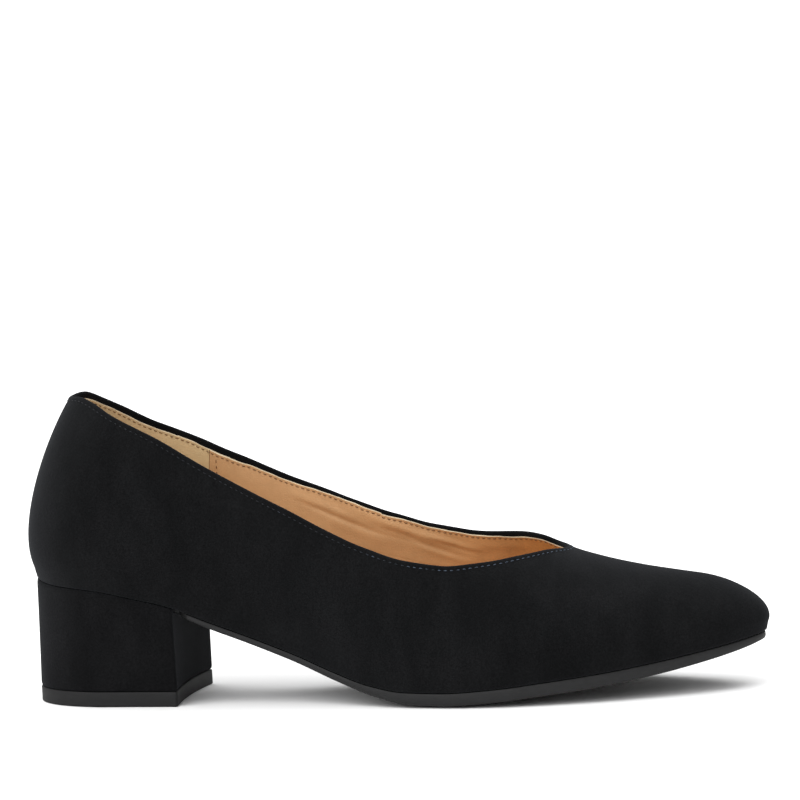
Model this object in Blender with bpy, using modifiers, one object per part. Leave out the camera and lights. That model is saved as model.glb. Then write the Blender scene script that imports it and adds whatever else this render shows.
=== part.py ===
"""A woman's right pump with a low block heel: upper, insole, outsole, heel block and top piece.

Metres, +Z up, +X towards the toe, +Y towards the wearer's left, which is the inner side of this right shoe.
The shoe is worked out in last coordinates, where x is 0 at the back of the heel seat. An empty then
carries every piece so that the origin is the centre of the top piece's tread, on the floor.
"""

import math

import bmesh
import bpy

# Driving sizes, each of which can be set by itself.
SHOE_LENGTH = 0.253  # feather line, from the back of the heel seat to the toe
SEAT_WIDTH = 0.0545  # feather line across the heel seat
WAIST_WIDTH = 0.043  # feather line across the arch
BALL_WIDTH = 0.074  # feather line across the ball
HEEL_RISE = 0.0381  # how far the feather line climbs from the ball to the back of the seat
TOE_RISE = 0.0134  # how far the feather line climbs from the ball to the toe
EDGE_LIFT = 0.0007  # the sole's rounded edge over the floor at the ball
BACK_HEIGHT = 0.0636  # top of the back over the heel seat
VAMP_HEIGHT = 0.0405  # throat over the feather line
THROAT_STATION = 0.735  # where the V of the throat ends, as a share of the length
TOE_SWING = 0.0035  # how far the toe points towards the inner side
RIDGE_SWING = 0.0040  # how far the instep's ridge lies towards the inner side
WALL = 0.0018  # suede, stiffener and lining together
RIM = 0.0013  # the same at the folded topline
LASTING_MARGIN = 0.0095  # upper turned in under the insole
FEATHER_RADIUS = 0.0024  # bend of the upper into its lasting margin
SOLE_THICKNESS = 0.0043  # outsole at the ball
SOLE_INSET = 0.0006  # outsole edge behind the feather line
INSOLE_THICKNESS = 0.0024
HEEL_LENGTH = 0.0530  # back of the seat to the corners of the breast
TREAD_WIDTH = 0.0490  # heel at the floor
BREAST_HOLLOW = 0.0018  # depth of the breast's curve
BREAST_SKEW = 0.0013  # how far the breast's inner corner lies ahead of its outer one
TREAD_BACK = 0.0008  # how far the heel's back at the floor stands behind the seat's
HEEL_CORNER = 0.0010  # rounding of the breast's upright edges
TOP_PIECE = 0.0052  # thickness of the heel's rubber top piece
SOLE_TUCK = 0.0080  # end of the outsole caught between heel and seat
TUCK_INSET = 0.0045  # side of that end inside the feather line
TUCK_FLARE = 0.0035  # length over which the outsole reaches its full width ahead of the heel
CUTTER_AHEAD = 0.0073  # reach of the heel's cut for the outsole beyond the breast
SOLE_BEVEL = 0.0007  # eased lower edge of the outsole
TREAD_EASE = 0.0004  # eased edges of the top piece
RIDGE_STEP = 0.0040  # half the length over which the ridge's slope is taken
CLEARANCE = 0.0003  # gap between pieces that touch

# How the mesh is divided.
COLUMNS = 46
WALL_ROWS = 11
BREAST_POINTS = 8
OUTLINE_SAMPLES = 400

HEEL_FAN = 0.048  # length of the heel end where the sections turn round the seat
TOE_FAN = 0.044  # length of the toe end where they turn round the toe
HEEL_ROUND = 0.030  # length of the seat's rounded back
TOE_ROUND = 0.017  # length of the toe's rounded end
OUTLINE_POWER = 2.0

# Feather line in plan. Columns: station along the length, the width it follows, and its distance from the
# shoe's axis on the outer and on the inner side as shares of that width, before the two ends are rounded.
OUTLINE = (
    (0.00, SEAT_WIDTH, 0.490, 0.490),
    (0.08, SEAT_WIDTH, 0.500, 0.500),
    (0.15, SEAT_WIDTH, 0.505, 0.500),
    (0.21, SEAT_WIDTH, 0.480, 0.455),
    (0.26, WAIST_WIDTH, 0.570, 0.500),
    (0.31, WAIST_WIDTH, 0.548, 0.450),
    (0.36, WAIST_WIDTH, 0.566, 0.442),
    (0.41, WAIST_WIDTH, 0.622, 0.482),
    (0.46, BALL_WIDTH, 0.410, 0.322),
    (0.51, BALL_WIDTH, 0.458, 0.374),
    (0.56, BALL_WIDTH, 0.492, 0.428),
    (0.61, BALL_WIDTH, 0.510, 0.470),
    (0.66, BALL_WIDTH, 0.507, 0.495),
    (0.71, BALL_WIDTH, 0.482, 0.500),
    (0.76, BALL_WIDTH, 0.441, 0.481),
    (0.81, BALL_WIDTH, 0.386, 0.440),
    (0.86, BALL_WIDTH, 0.316, 0.381),
    (0.91, BALL_WIDTH, 0.235, 0.313),
    (0.96, BALL_WIDTH, 0.152, 0.240),
    (1.00, BALL_WIDTH, 0.100, 0.194),
)

# Bottom of the last. Columns: station, share of HEEL_RISE, share of TOE_RISE, and the hollow of the middle
# below the two edges as a share of SOLE_THICKNESS.
BOTTOM = (
    (0.00, 1.000, 0.00, 0.00),
    (0.05, 0.976, 0.00, 0.30),
    (0.10, 0.939, 0.00, 0.42),
    (0.15, 0.868, 0.00, 0.42),
    (0.20, 0.783, 0.00, 0.32),
    (0.26, 0.617, 0.00, 0.23),
    (0.32, 0.459, 0.00, 0.20),
    (0.38, 0.302, 0.00, 0.21),
    (0.43, 0.165, 0.00, 0.24),
    (0.48, 0.056, 0.00, 0.26),
    (0.53, 0.004, 0.00, 0.28),
    (0.58, 0.000, 0.00, 0.28),
    (0.64, 0.000, 0.06, 0.27),
    (0.72, 0.000, 0.21, 0.24),
    (0.80, 0.000, 0.37, 0.19),
    (0.88, 0.000, 0.58, 0.12),
    (0.95, 0.000, 0.81, 0.05),
    (1.00, 0.000, 1.00, 0.00),
)

# Outsole. Columns: station and thickness as a share of SOLE_THICKNESS.
SOLE = (
    (0.17, 0.22),
    (0.21, 0.36),
    (0.26, 0.50),
    (0.36, 0.54),
    (0.45, 0.62),
    (0.50, 0.78),
    (0.55, 0.96),
    (0.62, 1.00),
    (0.76, 1.02),
    (0.84, 0.97),
    (0.92, 0.85),
    (0.97, 0.70),
    (1.00, 0.55),
)

# Crown of the last, which the vamp's ridge follows. Columns: station, share of BACK_HEIGHT, share of
# VAMP_HEIGHT and share of RIDGE_SWING. Behind the throat no leather reaches it.
CROWN = (
    (0.00, 1.00, 0.00, 0.00),
    (0.09, 1.15, 0.00, 0.00),
    (0.16, 1.28, 0.00, 0.00),
    (0.24, 1.35, 0.02, 0.10),
    (0.32, 1.10, 0.40, 0.25),
    (0.40, 0.72, 0.90, 0.45),
    (0.48, 0.38, 1.32, 0.65),
    (0.56, 0.14, 1.47, 0.85),
    (0.64, 0.00, 1.37, 1.00),
    (0.70, 0.00, 1.150, 1.00),
    (0.735, 0.00, 1.000, 0.96),
    (0.78, 0.00, 0.881, 0.90),
    (0.835, 0.00, 0.760, 0.86),
    (0.885, 0.00, 0.662, 0.86),
    (0.915, 0.00, 0.603, 0.87),
    (1.00, 0.00, 0.420, 0.90),
)

# Sides of the last between feather line and crown. Columns: station, outward flare of the outer and of the
# inner side as shares of WAIST_WIDTH, rise of that flare as a share of the crown's height, and how far
# the crown stays level as a share of the half width, outer and inner.
SIDES = (
    (0.00, 0.223, 0.223, 0.25, 0.41, 0.41),
    (0.10, 0.195, 0.190, 0.33, 0.60, 0.60),
    (0.24, 0.180, 0.200, 0.36, 0.78, 0.80),
    (0.38, 0.260, 0.330, 0.36, 1.06, 1.22),
    (0.50, 0.120, 0.210, 0.34, 0.80, 0.90),
    (0.60, 0.060, 0.080, 0.34, 0.62, 0.70),
    (0.72, 0.055, 0.055, 0.40, 0.56, 0.60),
    (0.84, 0.055, 0.055, 0.46, 0.56, 0.58),
    (0.94, 0.070, 0.070, 0.50, 0.56, 0.56),
    (1.00, 0.114, 0.114, 0.36, 0.58, 0.58),
)

# Topline in side view, up to the throat. Columns: station, share of BACK_HEIGHT and share of VAMP_HEIGHT.
TOPLINE_OUTER = (
    (0.040, 0.980, 0.00),
    (0.060, 0.999, 0.00),
    (0.083, 1.017, 0.00),
    (0.105, 1.001, 0.00),
    (0.130, 0.965, 0.00),
    (0.166, 0.929, 0.00),
    (0.240, 0.865, 0.00),
    (0.316, 0.697, 0.19),
    (0.400, 0.453, 0.52),
    (0.480, 0.199, 0.85),
    (0.553, 0.050, 0.995),
    (0.600, 0.000, 1.035),
    (0.640, 0.000, 1.034),
    (0.676, 0.000, 1.040),
    (0.710, 0.000, 1.036),
)
TOPLINE_INNER = (
    (0.040, 0.980, 0.00),
    (0.060, 1.001, 0.00),
    (0.066, 1.012, 0.00),
    (0.072, 1.015, 0.00),
    (0.080, 1.001, 0.00),
    (0.090, 0.977, 0.00),
    (0.110, 0.939, 0.00),
    (0.160, 0.871, 0.00),
    (0.215, 0.846, 0.00),
    (0.270, 0.718, 0.20),
    (0.350, 0.505, 0.50),
    (0.430, 0.262, 0.88),
    (0.486, 0.122, 1.085),
    (0.545, 0.040, 1.152),
    (0.600, 0.000, 1.160),
    (0.664, 0.000, 1.132),
    (0.692, 0.000, 1.094),
    (0.715, 0.000, 1.030),
)

# Heel tread in plan. Columns: share of HEEL_LENGTH and half width as a share of TREAD_WIDTH.
TREAD = (
    (0.00, 0.462),
    (0.30, 0.462),
    (0.60, 0.470),
    (1.00, 0.500),
)
TREAD_ROUND = 0.56  # length of the tread's rounded back as a share of HEEL_LENGTH


def smooth(table, station, column):
    """Value of a table's column at a station, on a curve with no overshoot through its rows."""
    last = len(table) - 1
    if station <= table[0][0]:
        return table[0][column]
    if station >= table[last][0]:
        return table[last][column]
    i = next(k for k in range(last) if table[k + 1][0] >= station)

    def slope_between(k):
        return (table[k + 1][column] - table[k][column]) / (table[k + 1][0] - table[k][0])

    def slope_at(k):
        if k in (0, last):
            return slope_between(min(k, last - 1))
        before, after = slope_between(k - 1), slope_between(k)
        if before * after <= 0:
            return 0.0
        return 2 * before * after / (before + after)

    span = table[i + 1][0] - table[i][0]
    t = (station - table[i][0]) / span
    h00 = (1 + 2 * t) * (1 - t) ** 2
    h01 = t * t * (3 - 2 * t)
    h10 = t * (1 - t) ** 2
    h11 = t * t * (t - 1)
    return (
        h00 * table[i][column]
        + h01 * table[i + 1][column]
        + span * (h10 * slope_at(i) + h11 * slope_at(i + 1))
    )


def rounding(distance, reach):
    """Share of the full half width at a distance from an end that is rounded over a reach."""
    if distance >= reach:
        return 1.0
    gone = 1 - max(distance, 0.0) / reach
    return (1 - gone**OUTLINE_POWER) ** (1 / OUTLINE_POWER)


WIDTHS = tuple((s, width * outer, width * inner) for s, width, outer, inner in OUTLINE)


def plain_half_width(x, side):
    """Half width of the feather line before its ends are rounded. side is -1 outer, 1 inner."""
    return smooth(WIDTHS, x / SHOE_LENGTH, 1 if side < 0 else 2)


def edge_y(x, side):
    """y of the feather line, whose two sides meet on the seat's axis and at the swung toe."""
    ends = rounding(x, HEEL_ROUND) * rounding(SHOE_LENGTH - x, TOE_ROUND)
    meeting = TOE_SWING if x > SHOE_LENGTH / 2 else 0.0
    return side * plain_half_width(x, side) * ends + meeting * (1 - ends)


def ridge_y(x):
    return RIDGE_SWING * smooth(CROWN, x / SHOE_LENGTH, 3)


def edge_height(x):
    """Height of the feather line."""
    s = x / SHOE_LENGTH
    climb = HEEL_RISE * smooth(BOTTOM, s, 1) + TOE_RISE * smooth(BOTTOM, s, 2)
    return EDGE_LIFT + SOLE_THICKNESS + climb


def bottom(x, y):
    """Height of the last's bottom, which is hollow between the two edges."""
    across = min(1.0, abs(y) / plain_half_width(x, math.copysign(1, y)))
    hollow = SOLE_THICKNESS * smooth(BOTTOM, x / SHOE_LENGTH, 3)
    return edge_height(x) - hollow * (1 - across**2)


def crown_height(x):
    s = x / SHOE_LENGTH
    above = BACK_HEIGHT * smooth(CROWN, s, 1) + VAMP_HEIGHT * smooth(CROWN, s, 2)
    return edge_height(x) + above


def topline_height(x, side):
    """Height of the topline in side view. It meets the crown at the throat."""
    rows = TOPLINE_OUTER if side < 0 else TOPLINE_INNER
    heights = [(s, BACK_HEIGHT * back + VAMP_HEIGHT * vamp) for s, back, vamp in rows]
    throat = THROAT_STATION * SHOE_LENGTH
    heights.append((THROAT_STATION, crown_height(throat) - edge_height(throat)))
    return edge_height(x) + smooth(heights, x / SHOE_LENGTH, 1)


def drawn_in(distance, reach):
    """Distance of a section's foot on the ridge from an end that the sections turn round."""
    if distance >= reach:
        return distance
    return reach / 2 + distance**2 / (2 * reach)


def foot_of(x):
    """x where the section that starts at the feather line at x meets the ridge, seen in plan."""
    if x < HEEL_FAN:
        return drawn_in(x, HEEL_FAN)
    return SHOE_LENGTH - drawn_in(SHOE_LENGTH - x, TOE_FAN)


def evenly_spaced(lowest, highest, count):
    """count + 1 values of x, evenly spaced along the feather line between two values of x."""
    xs = []
    lengths = [0.0]
    for k in range(OUTLINE_SAMPLES + 1):
        turn = math.pi * k / OUTLINE_SAMPLES
        xs.append(SHOE_LENGTH * (1 - math.cos(turn)) / 2)
        if k:
            step = edge_y(xs[k], -1) - edge_y(xs[k - 1], -1)
            lengths.append(lengths[-1] + math.hypot(xs[k] - xs[k - 1], step))

    def length_at(x):
        k = next(i for i in range(OUTLINE_SAMPLES) if xs[i + 1] >= x - 1e-12)
        return lengths[k] + (lengths[k + 1] - lengths[k]) * (x - xs[k]) / (xs[k + 1] - xs[k])

    def x_at(length):
        k = next(i for i in range(OUTLINE_SAMPLES) if lengths[i + 1] >= length - 1e-12)
        return xs[k] + (xs[k + 1] - xs[k]) * (length - lengths[k]) / (lengths[k + 1] - lengths[k])

    start, end = length_at(lowest), length_at(highest)
    inner = [x_at(start + (end - start) * k / count) for k in range(1, count)]
    return [lowest, *inner, highest]


class Section:
    """One upright section through the last, from the feather line to the crown."""

    def __init__(self, x, side):
        self.side = side
        self.x = x
        self.foot = foot_of(x)
        self.edge = (x, edge_y(x, side))
        self.centre = (self.foot, ridge_y(self.foot))
        self.reach = math.dist(self.edge, self.centre)
        self.top = crown_height(self.foot)
        station = x / SHOE_LENGTH
        self.flare = WAIST_WIDTH * smooth(SIDES, station, 1 if side < 0 else 2)
        self.rise = smooth(SIDES, station, 3)
        self.level = smooth(SIDES, station, 4 if side < 0 else 5)

    def plan(self, outward):
        """(x, y) at a distance outward of the feather line, negative inward."""
        share = 1 + outward / self.reach
        return tuple(c + share * (e - c) for e, c in zip(self.edge, self.centre))

    def floor(self, inward, lift=0.0):
        """A point over the last's bottom, at a distance inward of the feather line."""
        x, y = self.plan(-inward)
        return (x, y, bottom(x, y) + lift)

    def wall(self, t):
        """A point of the outer face, from t 0 at the bend over the feather line to t 1 at the crown."""
        base = bottom(*self.edge) + CLEARANCE + FEATHER_RADIUS
        step = RIDGE_STEP
        ridge_slope = (crown_height(self.foot + step) - crown_height(self.foot - step)) / (2 * step)
        level = self.level * self.reach
        forward = (self.edge[0] - self.centre[0]) / self.reach
        points = (
            (0.0, base),
            (self.flare, base + self.rise * (self.top - base)),
            (level - self.reach, self.top + ridge_slope * forward * level),
            (-self.reach, self.top),
        )
        weights = ((1 - t) ** 3, 3 * t * (1 - t) ** 2, 3 * t * t * (1 - t), t**3)
        outward = sum(w * p[0] for w, p in zip(weights, points))
        height = sum(w * p[1] for w, p in zip(weights, points))
        return (*self.plan(outward), height)

    def topline(self):
        """t where the wall meets the topline, or 1 ahead of the throat."""
        if self.x >= THROAT_STATION * SHOE_LENGTH - 1e-9:
            return 1.0
        low, high = 0.2, 1.0
        for _ in range(40):
            t = (low + high) / 2
            x, _, z = self.wall(t)
            if z < topline_height(x, self.side):
                low = t
            else:
                high = t
        return high


def half_round(xs):
    """Sections along the outer side at xs, and those back along the inner side."""
    outer = [Section(x, -1) for x in xs]
    inner = [Section(x, 1) for x in reversed(xs)]
    return outer, inner


def material(name, colour, roughness):
    made = bpy.data.materials.new(name)
    made.use_nodes = True
    shader = made.node_tree.nodes["Principled BSDF"]
    shader.inputs["Base Color"].default_value = (*colour, 1.0)
    shader.inputs["Roughness"].default_value = roughness
    shader.inputs["Metallic"].default_value = 0.0
    return made


class Loft:
    """A skin over rows of points, made into an object once its rows are joined."""

    def __init__(self):
        self.mesh = bmesh.new()
        self.group = self.mesh.verts.layers.deform.verify()

    def row(self, points, weights=None):
        made = [self.mesh.verts.new(p) for p in points]
        for vertex, weight in zip(made, weights or ()):
            vertex[self.group][0] = weight
        return made

    def join(self, first, second, closed=True):
        count = len(first)
        for k in range(count if closed else count - 1):
            n = (k + 1) % count
            self.mesh.faces.new((first[k], first[n], second[n], second[k]))

    def cap(self, row):
        self.mesh.faces.new(row)

    def finish(self, name, made_of, parent, collection):
        bmesh.ops.remove_doubles(self.mesh, verts=self.mesh.verts, dist=1e-6)
        bmesh.ops.recalc_face_normals(self.mesh, faces=self.mesh.faces)
        data = bpy.data.meshes.new(name)
        self.mesh.to_mesh(data)
        self.mesh.free()
        data.materials.append(made_of)
        data.shade_smooth()
        data.set_sharp_from_angle(angle=math.radians(40))
        made = bpy.data.objects.new(name, data)
        made.vertex_groups.new(name="wall")
        made.parent = parent
        collection.objects.link(made)
        return made


def make_upper(parent, collection, suede):
    """The upper: an open skin over the last, from its lasting margin to the topline, given its wall."""
    throat = THROAT_STATION * SHOE_LENGTH
    behind = round(COLUMNS * 0.74)
    xs = evenly_spaced(0.0, throat, behind)
    xs += evenly_spaced(throat, SHOE_LENGTH, COLUMNS - behind)[1:]
    outer, inner = half_round(xs)
    sections = outer + inner[1:-1]
    loft = Loft()
    bend = FEATHER_RADIUS * (1 - math.cos(math.radians(45)))
    under = (
        (LASTING_MARGIN, 0.0),
        ((LASTING_MARGIN + FEATHER_RADIUS) / 2, 0.0),
        (FEATHER_RADIUS, 0.0),
        (bend, bend),
    )
    full = [1.0] * len(sections)
    rows = [loft.row([s.floor(inward, CLEARANCE + lift) for s in sections], full) for inward, lift in under]
    tops = [s.topline() for s in sections]
    for k in range(WALL_ROWS + 1):
        share = k / WALL_ROWS
        thinned = max(0.0, 1 - (1 - share) * WALL_ROWS / 2) * (1 - RIM / WALL)
        weights = [1 - thinned if top < 1 else 1.0 for top in tops]
        rows.append(loft.row([s.wall(top * share) for s, top in zip(sections, tops)], weights))
    for lower, upper in zip(rows, rows[1:]):
        loft.join(lower, upper)
    made = loft.finish("upper", suede, parent, collection)
    shell = made.modifiers.new("wall", "SOLIDIFY")
    shell.thickness = WALL
    shell.offset = -1.0
    shell.vertex_group = "wall"
    shell.use_even_offset = True
    return made


def make_insole(parent, collection, leather):
    """The insole lies on the lasting margin, and its underside fills the space inside the margin."""
    xs = evenly_spaced(0.0, SHOE_LENGTH, COLUMNS - 6)
    outer, inner = half_round(xs)
    sections = outer + inner[1:-1]
    loft = Loft()
    over_margin = WALL + 2 * CLEARANCE
    inset = WALL + 3 * CLEARANCE
    step = LASTING_MARGIN + 2 * CLEARANCE

    def across(inward, lift, shares):
        """Rows from a distance inward of the feather line to the sections' far ends."""
        found = []
        for share in shares:
            points = []
            for s in sections:
                start = min(inward, s.reach)
                points.append(s.floor(start + (s.reach - start) * share, lift))
            found.append(loft.row(points))
        return found

    top = across(inset, over_margin + INSOLE_THICKNESS, (0.0, 0.35, 0.7, 1.0))
    ledge = across(inset, over_margin, (0.0,))[0]
    riser = across(step, over_margin, (0.0,))[0]
    under = across(step, CLEARANCE, (0.0, 0.5, 1.0))
    rows = [*reversed(top), ledge, riser, *under]
    for first, second in zip(rows, rows[1:]):
        loft.join(first, second)
    return loft.finish("insole", leather, parent, collection)


def sole_thickness(x):
    return SOLE_THICKNESS * smooth(SOLE, x / SHOE_LENGTH, 1)


def tuck_inset(x):
    """How far the outsole's side lies inside the feather line: more where it is caught under the seat."""
    flared = HEEL_LENGTH + BREAST_SKEW + CLEARANCE + TUCK_FLARE
    share = min(1.0, max(0.0, (flared - x) / TUCK_FLARE))
    return SOLE_INSET + (TUCK_INSET - SOLE_INSET) * share


def sole_rows(loft, sections, lift, drop):
    """Rows of the outsole's skin round its top, edge and underside. The tread is flat on the floor."""
    rows = []
    for share in (1.0, 0.66, 0.33, 0.0):
        points = []
        for s in sections:
            inset = tuck_inset(s.x)
            points.append(s.floor(inset + (s.reach - inset) * share, lift))
        rows.append(loft.row(points))
    for inward, share in ((0.0, 0.72), (SOLE_BEVEL, 1.0)):
        points = []
        for s in sections:
            inset = tuck_inset(s.x)
            x, y, _ = s.floor(inset)
            height = bottom(x, y) - sole_thickness(x) * share - drop
            px, py = s.plan(-inset - inward)
            points.append((px, py, max(0.0, height)))
        rows.append(loft.row(points))
    for share in (0.16, 0.33, 0.5, 0.75, 1.0):
        points = []
        for s in sections:
            inset = tuck_inset(s.x) + SOLE_BEVEL
            x, y, z = s.floor(inset + (s.reach - inset) * share)
            points.append((x, y, max(0.0, z - sole_thickness(x) - drop)))
        rows.append(loft.row(points))
    return rows


def make_outsole(parent, collection, rubber):
    """The outsole runs from the toe to its end under the heel seat."""
    breast = HEEL_LENGTH + BREAST_SKEW + CLEARANCE
    xs = evenly_spaced(HEEL_LENGTH - SOLE_TUCK, breast, 2)
    xs += evenly_spaced(breast + TUCK_FLARE, SHOE_LENGTH, COLUMNS - 10)
    outer, inner = half_round(xs)
    sections = outer + inner[1:]
    loft = Loft()
    rows = sole_rows(loft, sections, 0.0, 0.0)
    for first, second in zip(rows, rows[1:]):
        loft.join(first, second, closed=False)
    loft.cap([row[0] for row in rows] + [row[-1] for row in reversed(rows[1:-1])])
    return loft.finish("outsole", rubber, parent, collection)


def tuck_cutter(parent, cutters):
    """The outsole's end with a clearance round it, to be cut from the heel."""
    loft = Loft()
    length = SOLE_TUCK + CUTTER_AHEAD
    back = HEEL_LENGTH - SOLE_TUCK - CLEARANCE
    rows = []
    steps = 6
    for k in range(steps + 1):
        x = back + length * k / steps
        sides = [edge_y(x, side) - side * (tuck_inset(x) - CLEARANCE) for side in (-1, 1)]
        under = []
        over = []
        for j in range(steps + 1):
            y = sides[0] + (sides[1] - sides[0]) * j / steps
            under.append((x, y, bottom(x, y) - sole_thickness(x) - CLEARANCE))
            over.append((x, y, bottom(x, y) + WALL))
        rows.append(loft.row(under + over[::-1]))
    for first, second in zip(rows, rows[1:]):
        loft.join(first, second)
    loft.cap(rows[0])
    loft.cap(rows[-1])
    made = loft.finish("tuck_cutter", bpy.data.materials["rubber"], parent, cutters)
    made.hide_render = True
    made.display_type = "WIRE"
    return made


def tread_half_width(x):
    share = x / HEEL_LENGTH
    full = TREAD_WIDTH * smooth(TREAD, share, 1)
    return full * rounding(x, TREAD_ROUND * HEEL_LENGTH)


def breast_corner(share):
    """x of the breast's straight chord, from share -1 at the outer side to 1 at the inner side."""
    return HEEL_LENGTH + BREAST_SKEW * (1 + share) / 2


def heel_ring(width_of, count):
    """Closed plan of the heel, from the outer corner of the breast round the back and across the breast."""

    def flank(side):
        """Values of x from the back to a corner of the breast."""
        length = breast_corner(side) - HEEL_CORNER
        turns = [1 - math.cos(math.pi / 2 * k / count) for k in range(count + 1)]
        return [length * 0.5 * (turned + (k / count) ** 1.6) for k, turned in enumerate(turns)]

    ring = []
    for x in reversed(flank(-1)):
        ring.append((x, -width_of(x, -1)))
    for x in flank(1)[1:]:
        ring.append((x, width_of(x, 1)))
    wide = [width_of(breast_corner(side), side) for side in (-1, 1)]

    def breast(share):
        """A point of the breast, from share -1 at the outer corner to 1 at the inner one."""
        reach = wide[1] if share > 0 else wide[0]
        return (breast_corner(share) - BREAST_HOLLOW * (1 - share**2), share * reach)

    corner = HEEL_CORNER / TREAD_WIDTH * 2
    cut = HEEL_CORNER * (1 - math.cos(math.radians(45)))
    ring.append((breast_corner(1) - cut, wide[1] - cut))
    for k in range(BREAST_POINTS + 1):
        ring.append(breast((1 - corner) * (1 - 2 * k / BREAST_POINTS)))
    ring.append((breast_corner(-1) - cut, -wide[0] + cut))
    return ring


def seat_width(x, side):
    return abs(edge_y(x, side))


def tread_width(x, _):
    return tread_half_width(x)


def tread_ring(count):
    """Plan of the tread, whose back stands a little behind the seat's."""
    ring = heel_ring(tread_width, count)
    return [(x - TREAD_BACK * max(0.0, 1 - x / HEEL_LENGTH), y) for x, y in ring]


def make_heel(parent, collection, cutters, suede):
    """The covered heel block, from the top piece to the seat, hollowed on top to the last's bottom."""
    count = 13
    seat = heel_ring(seat_width, count)
    tread = tread_ring(count)
    loft = Loft()
    base = TOP_PIECE + CLEARANCE
    levels = (0.0, 0.45, 0.8, 1.0)
    rows = []
    for level in levels:
        spread = 1 - (1 - level) ** 1.4
        points = []
        for (sx, sy), (tx, ty) in zip(seat, tread):
            x = tx + (sx - tx) * spread
            y = ty + (sy - ty) * spread
            points.append((x, y, base + (bottom(sx, sy) - base) * level))
        rows.append(loft.row(points))
    heart = HEEL_LENGTH * 0.50
    for share in (0.7, 0.35):
        points = []
        for sx, sy in seat:
            x, y = heart + (sx - heart) * share, sy * share
            points.append((x, y, bottom(x, y)))
        rows.append(loft.row(points))
    for lower, upper in zip(rows, rows[1:]):
        loft.join(lower, upper)
    loft.cap(rows[0])
    peak = loft.row([(heart, 0.0, bottom(heart, 0.0))])[0]
    last = rows[-1]
    for k, vertex in enumerate(last):
        loft.mesh.faces.new((vertex, last[(k + 1) % len(last)], peak))
    made = loft.finish("heel_block", suede, parent, collection)
    cut = made.modifiers.new("sole_end", "BOOLEAN")
    cut.operation = "DIFFERENCE"
    cut.object = tuck_cutter(parent, cutters)
    return made


def make_top_piece(parent, collection, rubber):
    """The rubber top piece: the tread's outline as a flat curve with thickness, its edges eased."""
    curve = bpy.data.curves.new("top_piece", "CURVE")
    curve.dimensions = "2D"
    curve.fill_mode = "BOTH"
    curve.extrude = TOP_PIECE / 2
    outline = tread_ring(16)
    spline = curve.splines.new("POLY")
    spline.points.add(len(outline) - 1)
    for point, (x, y) in zip(spline.points, outline):
        point.co = (x, y, 0.0, 1.0)
    spline.use_cyclic_u = True
    curve.materials.append(rubber)
    made = bpy.data.objects.new("top_piece", curve)
    made.location = (0.0, 0.0, TOP_PIECE / 2)
    made.parent = parent
    collection.objects.link(made)
    weld = made.modifiers.new("caps", "WELD")
    weld.merge_threshold = 1e-6
    eased = made.modifiers.new("eased_edge", "BEVEL")
    eased.width = TREAD_EASE
    eased.segments = 1
    eased.limit_method = "ANGLE"
    eased.angle_limit = math.radians(60)
    return made


def main():
    for old in list(bpy.data.objects):
        bpy.data.objects.remove(old)
    shoe = bpy.data.collections.new("block_heel_pump")
    cutters = bpy.data.collections.new("cutters")
    bpy.context.scene.collection.children.link(shoe)
    bpy.context.scene.collection.children.link(cutters)
    last = bpy.data.objects.new("last_frame", None)
    last.location = (-HEEL_LENGTH / 2, 0.0, 0.0)
    shoe.objects.link(last)
    suede = material("suede", (0.012, 0.012, 0.013), 0.95)
    leather = material("lining_leather", (0.62, 0.40, 0.22), 0.55)
    rubber = material("rubber", (0.035, 0.035, 0.037), 0.6)
    make_upper(last, shoe, suede)
    make_insole(last, shoe, leather)
    make_outsole(last, shoe, rubber)
    make_heel(last, shoe, cutters, suede)
    make_top_piece(last, shoe, rubber)


main()
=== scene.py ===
"""The block heel pump dressed for its picture: suede, folded edge, linings, stitches, rubber and light.

Metres. The shoe is worked out in last coordinates, as in the CAD source, where x is 0 at the back of the
heel seat, and every piece is then moved back by half the heel's length.
"""

import bisect
import math
import random

import bmesh
import bpy
from mathutils import Matrix, Vector
from mathutils.bvhtree import BVHTree
from mathutils.interpolate import poly_3d_calc
from mathutils.kdtree import KDTree


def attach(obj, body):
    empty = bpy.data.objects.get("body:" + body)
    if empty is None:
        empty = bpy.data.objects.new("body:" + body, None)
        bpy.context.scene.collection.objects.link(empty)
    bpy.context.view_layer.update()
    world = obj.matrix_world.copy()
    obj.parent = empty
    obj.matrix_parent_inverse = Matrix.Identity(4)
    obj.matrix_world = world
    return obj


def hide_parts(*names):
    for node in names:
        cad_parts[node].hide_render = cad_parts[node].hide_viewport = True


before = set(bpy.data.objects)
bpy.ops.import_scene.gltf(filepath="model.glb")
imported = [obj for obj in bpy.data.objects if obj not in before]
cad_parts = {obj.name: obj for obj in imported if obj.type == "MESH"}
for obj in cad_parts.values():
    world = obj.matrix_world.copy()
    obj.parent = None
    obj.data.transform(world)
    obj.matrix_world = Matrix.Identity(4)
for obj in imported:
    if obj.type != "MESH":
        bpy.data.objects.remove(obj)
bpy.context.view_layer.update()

# Sizes and tables of the CAD source.
SHOE_LENGTH = 0.253
SEAT_WIDTH = 0.0545
WAIST_WIDTH = 0.043
BALL_WIDTH = 0.074
HEEL_RISE = 0.0381
TOE_RISE = 0.0134
EDGE_LIFT = 0.0007
BACK_HEIGHT = 0.0636
VAMP_HEIGHT = 0.0405
THROAT_STATION = 0.735
TOE_SWING = 0.0035
RIDGE_SWING = 0.0040
WALL = 0.0018
RIM = 0.0013
LASTING_MARGIN = 0.0095
FEATHER_RADIUS = 0.0024
SOLE_THICKNESS = 0.0043
SOLE_INSET = 0.0006
INSOLE_THICKNESS = 0.0024
HEEL_LENGTH = 0.0530
TREAD_WIDTH = 0.0490
BREAST_HOLLOW = 0.0018
BREAST_SKEW = 0.0013
TREAD_BACK = 0.0008
HEEL_CORNER = 0.0010
TOP_PIECE = 0.0052
SOLE_TUCK = 0.0080
TUCK_INSET = 0.0045
TUCK_FLARE = 0.0035
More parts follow.
